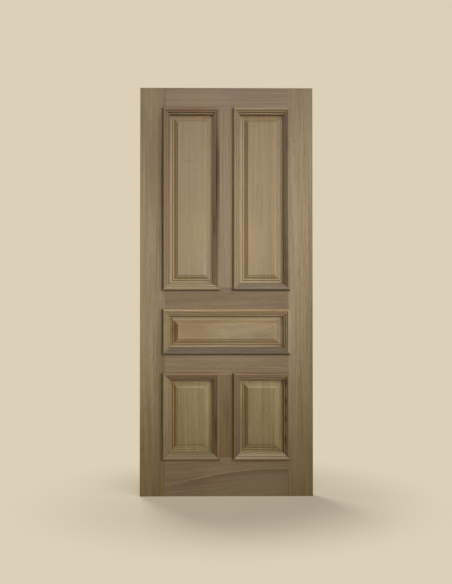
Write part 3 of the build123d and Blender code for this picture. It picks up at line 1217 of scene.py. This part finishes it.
class MakePanels(bpy.types.Operator):
    """Makes the five raised and fielded panels."""

    bl_idname = "door_leaf.make_panels"
    bl_label = "Panels"

    def execute(self, context):
        sizes = context.scene.leaf_panel
        widths = (sizes.margin, sizes.flat, sizes.bevel, sizes.ledge + sizes.field_run)
        for place in PLACES:
            node = f"{place}_panel"
            low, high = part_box(node)
            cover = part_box(f"front_{place}_mould_left")[1].x - low.x
            section = panel_section(sizes, cover)
            if abs(section[:, 1].max() - high.y) > BOX_TOLERANCE:
                raise RuntimeError(f"the panel section is not as thick as {node}")
            zones = tuple(cover + sum(widths[:count]) for count in range(len(widths) + 1))
            raised = Raised(low, high, zones, PANEL_SHADES[place])
            upright = place != "middle"
            board = timber_material(node, PANEL_TIMBER[place], upright, box_centre(node), raised=raised)
            mesh = panel_mesh(f"{node}.timber", section, low, high)
            add_piece(mesh, node, board)
        return {"FINISHED"}


class MakeMouldings(bpy.types.Operator):
    """Makes the forty mitred lengths of bolection moulding."""

    bl_idname = "door_leaf.make_mouldings"
    bl_label = "Mouldings"

    def execute(self, context):
        sizes = context.scene.leaf_moulding
        creases = moulding_creases(sizes)
        boards = {}
        for face, place in product(FACES, PLACES):
            for side, (kind, shade) in zip(SIDES, MOULDING_BOARDS[face][place]):
                node = f"{face}_{place}_mould_{side}"
                low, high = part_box(node)
                upright = side in ("left", "right")
                section = moulding_section(sizes, HALF_THICKNESS - min(abs(low.y), abs(high.y)))
                width = high.x - low.x if upright else high.z - low.z
                if abs(np.ptp(section[:, 0]) - width) > BOX_TOLERANCE:
                    raise RuntimeError(f"the moulding section is not as wide as {node}")
                stains = MOULDING_STAINS.get(node, ())
                timber = MOULDING_TIMBER[kind]._replace(shade=shade, stains=stains)
                if (timber, side) not in boards:
                    moulded = Moulded(creases, MOULDING_SHADES[side])
                    boards[timber, side] = timber_material(node, timber, upright, Vector(), moulded=moulded)
                mesh = moulding_mesh(
                    f"{node}.timber", section, low, high, side, FACES[face], sizes.mitre_gap
                )
                add_piece(mesh, node, boards[timber, side])
        return {"FINISHED"}


class SetStage(bpy.types.Operator):
    """Lays the floor and sets the background, the lamps and the camera."""

    bl_idname = "door_leaf.set_stage"
    bl_label = "Floor, lamps and camera"

    def execute(self, context):
        settings = context.scene.leaf_stage
        lay_floor(settings)
        set_world(settings)
        add_row(settings)
        for name, spot, power in (
            ("overhead", settings.overhead_place, settings.overhead_power),
            ("rear", settings.rear_place, settings.rear_power),
        ):
            add_lamp(name, "AREA", spot, power, settings.aim).size = settings.lamp_side
        set_camera(settings)
        context.scene.view_settings.view_transform = "Standard"
        return {"FINISHED"}


class LeafSidebar(bpy.types.Panel):
    """Lists the steps that make the leaf."""

    bl_idname = "VIEW3D_PT_door_leaf"
    bl_label = "Door leaf"
    bl_space_type = "VIEW_3D"
    bl_region_type = "UI"
    bl_category = "Door leaf"

    def draw(self, context):
        for step in STEPS:
            self.layout.operator(step.bl_idname)
        for name, group in SETTINGS.items():
            box = self.layout.box()
            box.label(text=group.__doc__)
            for key in group.__annotations__:
                box.prop(getattr(context.scene, name), key)


STEPS = (DressMembers, DressDowels, MakePanels, MakeMouldings, SetStage)
SETTINGS = {
    "leaf_moulding": MouldingSizes,
    "leaf_panel": PanelSizes,
    "leaf_tones": TimberTones,
    "leaf_stage": StageSettings,
}
CLASSES = (*SETTINGS.values(), *STEPS, LeafSidebar)


def register():
    """Adds the classes and the settings to Blender."""
    for item in CLASSES:
        bpy.utils.register_class(item)
    for name, group in SETTINGS.items():
        setattr(bpy.types.Scene, name, PointerProperty(type=group))


def unregister():
    """Takes the settings and the classes out again."""
    for name in SETTINGS:
        delattr(bpy.types.Scene, name)
    for item in reversed(CLASSES):
        bpy.utils.unregister_class(item)


def main():
    """Makes the whole leaf and its stage."""
    register()
    bpy.ops.door_leaf.dress_members()
    bpy.ops.door_leaf.dress_dowels()
    bpy.ops.door_leaf.make_panels()
    bpy.ops.door_leaf.make_mouldings()
    bpy.ops.door_leaf.set_stage()


if __name__ == "__main__":
    main()
